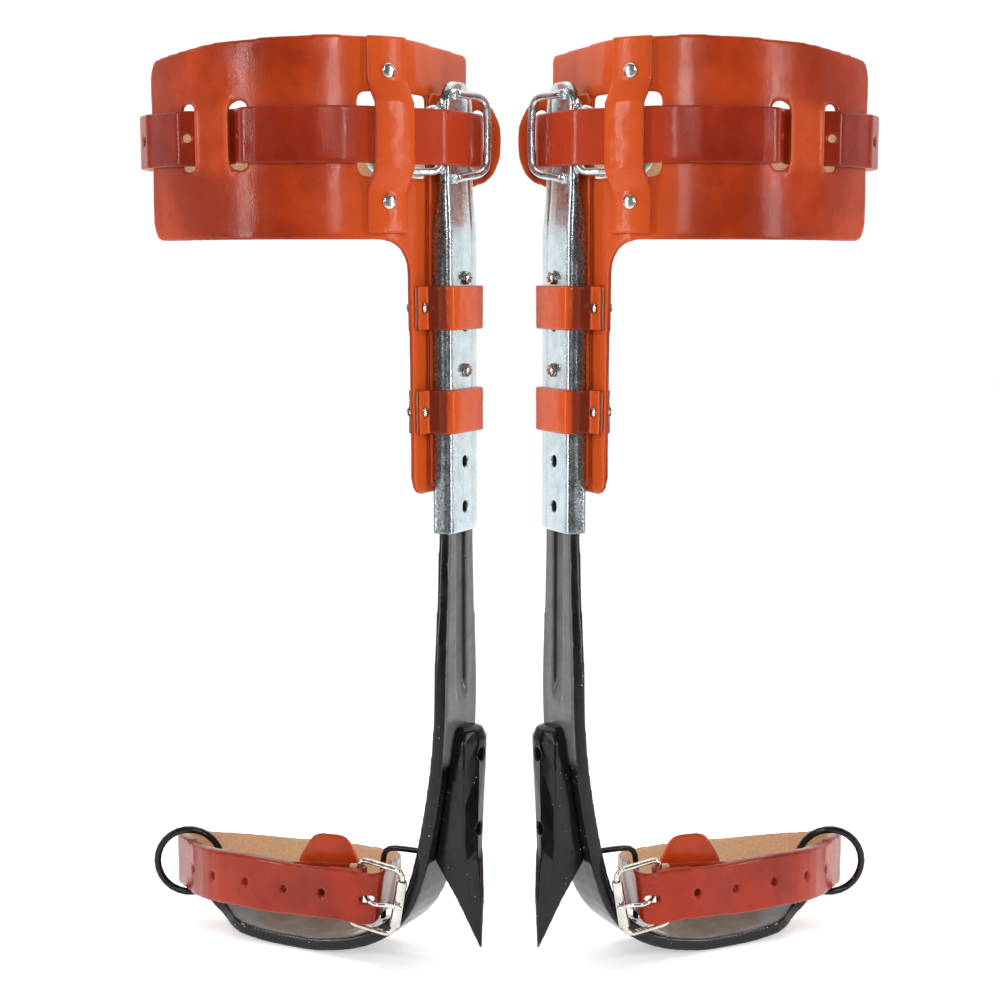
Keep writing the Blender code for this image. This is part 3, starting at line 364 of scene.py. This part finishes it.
def set_value(mesh, name, values):
    """One number for each point, which the materials read by its name."""
    layer = mesh.attributes.new(name, "FLOAT", "POINT")
    layer.data.foreach_set("value", values.astype(np.float32))


def mirrored(mesh):
    """The right spur's copy of a left piece."""
    other = mesh.copy()
    other.transform(Matrix.Scale(-1, 4, (1, 0, 0)))
    other.flip_normals()
    return other


# Leather ----------------------------------------------------------------------------------------
def away_from(points, middle):
    """Level unit directions from a point in plan."""
    level = points[:, :2] - middle
    length = np.maximum(np.linalg.norm(level, axis=1, keepdims=True), 1e-9)
    return np.hstack((level / length, np.zeros((len(points), 1))))


def tail_loop_out(points):
    """Out of a band: across the tail where it's riveted, else away from the sleeve."""
    out = away_from(points, SLEEVE_MIDDLE)
    riveted = points[:, 1] < RIVETED_Y
    across = np.sign(points[:, 0] - TAIL_X)
    out[riveted] = np.stack((across, 0 * across, 0 * across), axis=1)[riveted]
    return out


def wavy(points, size, depth):
    """Smooth unevenness of a given size, in metres."""
    return np.array([noise.noise(Vector(p) / size) for p in points]) * depth


def ramp(values, low, high):
    """0 below low, 1 above high and a smooth rise between."""
    t = np.clip((values - low) / (high - low), 0, 1)
    return t * t * (3 - 2 * t)


BRIDGE_LIFT = 0.5 * MM
LIP_LIFT = 1.3 * MM
LIP_WIDTH = 2.6 * MM


def lift_bridge(points, out):
    """The cuff's bridge between its strap slots, pushed out by the strap under it, with how much to pale
    it there as a painted highlight.
    """
    near, far = SLOT_EDGES
    x, z = points[:, 0], points[:, 2]
    height = 1 - ramp(np.abs(z - STRAP_HEIGHT), 11 * MM, 21 * MM)
    over = ramp(x, far - 3 * MM, far + 2 * MM) * (1 - ramp(x, near - 1 * MM, near + 2.6 * MM))
    lip = np.exp(-((x - near) / LIP_WIDTH) ** 2) + 0.6 * np.exp(-((x - far) / LIP_WIDTH) ** 2)
    front = points[:, 1] < -40 * MM
    lift = height * front * (BRIDGE_LIFT * over + LIP_LIFT * lip * over)
    return points + out * lift[:, None], lift / (BRIDGE_LIFT + LIP_LIFT)


def fold_side(points, side, pivot):
    """Round a buckle's bar the strap's grain is outside the fold."""
    reach = np.linalg.norm(points[:, :2] - pivot[:2], axis=1)
    near = (reach < FOLD_REACH) & (np.abs(points[:, 2] - pivot[2]) < 22 * MM)
    side[near] = np.where(reach[near] > FOLD_RADIUS, 1.0, -1.0)
    return side


def build_leather(node, material, voxel, rounds, pivot=None):
    """A leather piece with worn edges and a gentle sway, its grain side told from its flesh side."""
    mesh = remeshed(f"left_{node}", voxel, rounds)
    points = to_spur(points_of(mesh))
    facing = normals_of(mesh) @ TURN
    if node.startswith("tail_loop"):
        out = tail_loop_out(points)
    else:
        out = away_from(points, ANKLE_MIDDLE if "ankle" in node else CALF_MIDDLE)
    side = np.sum(facing * out, axis=1)
    # painted highlight, not wear: paler grain where the cuff's bridge bulges and on faces turned toward
    # the gaff side
    painted_highlight = np.zeros(len(points))
    if node == "cuff":
        points, painted_highlight = lift_bridge(points, out)
    if node != "ankle_strap":   # its run beside the gaff gets no painted highlight and stays as dark as the rest
        painted_highlight = np.maximum(painted_highlight, ramp(facing[:, 0], 0.3, 0.9))
    if pivot is not None:
        side = fold_side(points, side, pivot)
    sway = wavy(points, 34 * MM, 0.45 * MM) + wavy(points + 0.3, 9 * MM, 0.10 * MM)
    if node in CREASED:
        sway += wavy(points * np.array((1, 1, 1.7)), 8 * MM, 0.22 * MM)
    points = points + out * sway[:, None]
    set_points(mesh, to_world(points))
    set_value(mesh, "side", side)
    set_value(mesh, "painted_highlight", np.clip(painted_highlight, 0, 1))
    finish_pair(node, mesh, material)


def finish_pair(node, mesh, material):
    """The left piece and its mirror image, each riding on the body that holds the node."""
    mesh.materials.clear()
    mesh.materials.append(material)
    mesh.shade_smooth()
    for side, shape in (("left", mesh), ("right", mirrored(mesh))):
        thing = add(f"{side}_{node}_fine", shape)
        name = f"{side}_{node}"
        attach(thing, BODY_OF[name])
        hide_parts(name)


def build_all_leather():
    """The six tan pieces and the two darker straps."""
    build_leather("cuff", CUFF_LEATHER, 0.9 * MM, 24)
    build_leather("cuff_backing", CUFF_LEATHER, 1.0 * MM, 12)
    build_leather("keeper", CUFF_LEATHER, 0.7 * MM, 8)
    build_leather("tail_loop_upper", CUFF_LEATHER, 0.8 * MM, 6)
    build_leather("tail_loop_lower", CUFF_LEATHER, 0.8 * MM, 6)
    build_leather("ankle_strap_tab", CUFF_LEATHER, 0.7 * MM, 6)
    build_leather("calf_strap", STRAP_LEATHER, 0.9 * MM, 12, CALF_PIVOT)
    build_leather("ankle_strap", STRAP_LEATHER, 0.9 * MM, 12, ANKLE_PIVOT)


# Metal ------------------------------------------------------------------------------------------
def build_metal(node, material, voxel, rounds):
    """A metal piece with its edges worn round."""
    finish_pair(node, remeshed(f"left_{node}", voxel, rounds), material)


def build_leg_iron():
    """The bar, lighter grey on the shank's gaff side as a painted sheen, and rubbed lighter where the
    boot stands.
    """
    mesh = remeshed("left_leg_iron", 1.1 * MM, 5)
    high = to_spur(points_of(mesh))[:, 2]
    facing = normals_of(mesh) @ TURN
    # faces toward the gaff side of the shank get a painted sheen; upward faces of the tread get wear
    # from the boot
    shank = facing[:, 0] * ramp(high, 95 * MM, 125 * MM)
    tread = facing[:, 2] * (1 - ramp(high, 12 * MM, 30 * MM))
    set_value(mesh, "painted_sheen_and_wear", np.maximum(shank, tread))
    finish_pair("leg_iron", mesh, BLACK)


def build_sleeve():
    """Pressed zinc: round-edged, its front flange darkened as painted shade, with a shallow crease down
    its face.
    """
    mesh = remeshed("left_sleeve", 0.65 * MM, 10)
    points = to_spur(points_of(mesh))
    facing = normals_of(mesh) @ TURN
    face = ramp(facing[:, 0], 0.6, 0.9)
    crease = np.exp(-((points[:, 1] - CREASE_Y) / CREASE_WIDTH) ** 2) * face
    points[:, 0] -= crease * CREASE_DEPTH
    set_points(mesh, to_world(points))
    # how far each face turns to the front, which sets the flange's painted shade
    set_value(mesh, "flange", -facing[:, 1])
    finish_pair("sleeve", mesh, ZINC)


def weld_bead(name, holder, place, size, material):
    """A lumpy weld where wire meets plate; place and size are in mm in the left spur's directions."""
    bm = bmesh.new()
    bmesh.ops.create_icosphere(bm, subdivisions=4, radius=1)
    for vert in bm.verts:
        lumps = 1 + 0.16 * noise.noise(vert.co * 2.2 + Vector(place) / MM) + 0.05 * sin(vert.co.z * 14)
        vert.co = Vector([c * s * MM for c, s in zip(vert.co, size)]) * lumps
    mesh = bpy.data.meshes.new(name)
    bm.to_mesh(mesh)
    bm.free()
    set_points(mesh, to_world(points_of(mesh) + np.array(place) * MM))
    mesh.materials.append(material)
    mesh.shade_smooth()
    for side, shape in (("left", mesh), ("right", mirrored(mesh))):
        thing = add(f"{side}_{name}", shape)
        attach(thing, BODY_OF[f"{side}_{holder}"])


LOOP_FEET = (("upper", 22), ("lower", -20))     # mm above the calf strap's centre line
BRACKET_FEET = (("upper", 16), ("lower", -15))


def build_welds():
    """Beads at both feet of each strap loop and bracket, and under each ankle ring."""
    middle = STRAP_HEIGHT / MM
    for end, up in LOOP_FEET:
        place = (1.6, -9.0, middle + up)
        weld_bead(f"strap_loop_weld_{end}", "strap_loop", place, (1.9, 3.6, 2.9), ZINC)
    for end, up in BRACKET_FEET:
        place = (-2.6, -16.2, middle + up)
        weld_bead(f"bracket_weld_{end}", "pad_bracket", place, (2.2, 1.9, 3.6), ZINC)
    weld_bead("ring_weld", "ankle_ring", (-164.0, -1.0, 21.5), (2.6, 5.0, 2.6), BLACK)


def build_all_metal():
    """The black and zinc parts, then the small nickel ones."""
    build_leg_iron()
    build_sleeve()
    build_welds()
    build_metal("gaff", BLACK, 0.6 * MM, 3)
    for node in ("ankle_ring", "ankle_staple"):
        build_metal(node, BLACK, 0.55 * MM, 8)
    for node in ("strap_loop", "pad_bracket"):
        build_metal(node, ZINC, 0.55 * MM, 8)
    for strap in ("calf", "ankle"):
        build_metal(f"{strap}_buckle_frame", BUCKLE_NICKEL, 0.45 * MM, 8)
        build_metal(f"{strap}_buckle_prong", NICKEL, 0.35 * MM, 8)
    for place in ("keeper_rivet", "tail_rivet"):
        for end in ("upper", "lower"):
            build_metal(f"{place}_{end}", NICKEL, 0.28 * MM, 7)


def finish_node(node, material, bevel):
    """A CAD node that stays: its corners joined, softened and shaded."""
    for side in ("left", "right"):
        thing = frame["nodes"][f"{side}_{node}"]
        thing.data.materials.clear()
        thing.data.materials.append(material)
        thing.data.shade_smooth()
        weld = thing.modifiers.new("join", "WELD")
        weld.merge_threshold = 0.005 * MM
        soft = thing.modifiers.new("soft_edges", "BEVEL")
        soft.width = bevel
        soft.segments = 2
        soft.limit_method = "ANGLE"
        soft.angle_limit = radians(28)
        soft.harden_normals = True
        even = thing.modifiers.new("even_shading", "WEIGHTED_NORMAL")
        even.keep_sharp = True


def finish_nodes():
    """Screws and rollers keep their CAD shape."""
    for end in ("upper", "lower"):
        finish_node(f"gaff_screw_{end}", DARK_STEEL, 0.25 * MM)
        finish_node(f"sleeve_screw_{end}", NICKEL, 0.2 * MM)
    for strap in ("calf", "ankle"):
        finish_node(f"{strap}_buckle_roller", NICKEL, 0.25 * MM)


# Stage ------------------------------------------------------------------------------------------
ROOM_DARK = 0.16            # brightness of the surroundings behind the camera
ROOM_BRIGHT = 1.05          # and behind the object
FLOOR_GREY = (0.28, 0.28, 0.28)
FLOOR_WHITE = (0.92, 0.92, 0.92)
FLOOR_GLOW = 0.45           # hides the horizon in the white


def build_stage():
    """A lit white floor under and behind the pair that falls off to grey in front of it."""
    m = Nodes("pale_floor")
    split = m.tree.nodes.new("ShaderNodeSeparateXYZ")
    m.link(m.coords, split.inputs["Vector"])
    behind = m.range(split.outputs["Y"], -0.75, -0.18)
    m.link(m.mix(behind, FLOOR_GREY, FLOOR_WHITE), m.shader.inputs["Base Color"])
    m.shader.inputs["Roughness"].default_value = 0.7
    m.shader.inputs["Emission Color"].default_value = (1, 1, 1, 1)
    m.link(m.math("MULTIPLY", behind, FLOOR_GLOW), m.shader.inputs["Emission Strength"])
    bm = bmesh.new()
    bmesh.ops.create_grid(bm, x_segments=1, y_segments=1, size=6)
    mesh = bpy.data.meshes.new("floor")
    bm.to_mesh(mesh)
    bm.free()
    mesh.materials.append(m.material)
    floor = add("floor", mesh)
    floor.location.z = -0.2 * MM


def softbox(name, place, target, width, height, glow):
    """A rectangular lamp; glow is how bright its face looks, with white at 1."""
    data = bpy.data.lights.new(name, "AREA")
    data.shape = "RECTANGLE"
    data.size, data.size_y = width, height
    data.energy = glow * pi * width * height
    lamp = bpy.data.objects.new(name, data)
    bpy.context.scene.collection.objects.link(lamp)
    lamp.location = place
    lamp.rotation_euler = (Vector(target) - Vector(place)).to_track_quat("-Z", "Y").to_euler()


def build_surroundings():
    """A white room behind the object that darkens behind the camera, for metal to reflect."""
    world = bpy.data.worlds.new("studio")
    bpy.context.scene.world = world
    world.use_nodes = True
    tree = world.node_tree
    way = tree.nodes.new("ShaderNodeTexCoord")
    parts = tree.nodes.new("ShaderNodeSeparateXYZ")
    tree.links.new(way.outputs["Generated"], parts.inputs["Vector"])
    fade = tree.nodes.new("ShaderNodeMapRange")
    fade.interpolation_type = "SMOOTHSTEP"
    tree.links.new(parts.outputs["Y"], fade.inputs["Value"])
    for socket, number in (("From Min", -0.35), ("From Max", 0.55),
                           ("To Min", ROOM_DARK), ("To Max", ROOM_BRIGHT)):
        fade.inputs[socket].default_value = number
    tree.links.new(fade.outputs["Result"], tree.nodes["Background"].inputs["Strength"])
    tree.nodes["Background"].inputs["Color"].default_value = (1.0, 1.0, 1.0, 1)


def build_light():
    """Narrow bright strips draw the highlights down the leather, a wide box lights from above."""
    build_surroundings()
    middle = (0, 0, 0.25)
    softbox("front_strip", (0, -1.75, 0.95), middle, 0.09, 0.9, 45)
    softbox("top_box", (0, 0.1, 1.5), middle, 1.2, 1.0, 1.5)
    softbox("left_strip", (-1.4, -0.72, 0.5), middle, 0.07, 1.2, 30)
    softbox("right_strip", (1.4, -0.72, 0.5), middle, 0.07, 1.2, 30)


def build_camera():
    """In front of the pair, a little above its middle and tipped slightly down."""
    data = bpy.data.cameras.new("camera")
    data.lens = 68.4
    data.shift_x = -0.0095
    camera = bpy.data.objects.new("camera", data)
    bpy.context.scene.collection.objects.link(camera)
    camera.location = (0, -0.998 + SPUR_AT[1], 0.3755)
    camera.rotation_euler = (radians(83.1), 0, 0)
    bpy.context.scene.camera = camera
    bpy.context.scene.view_settings.view_transform = "Standard"


build_camera()
build_stage()
build_light()
build_all_leather()
build_all_metal()
finish_nodes()
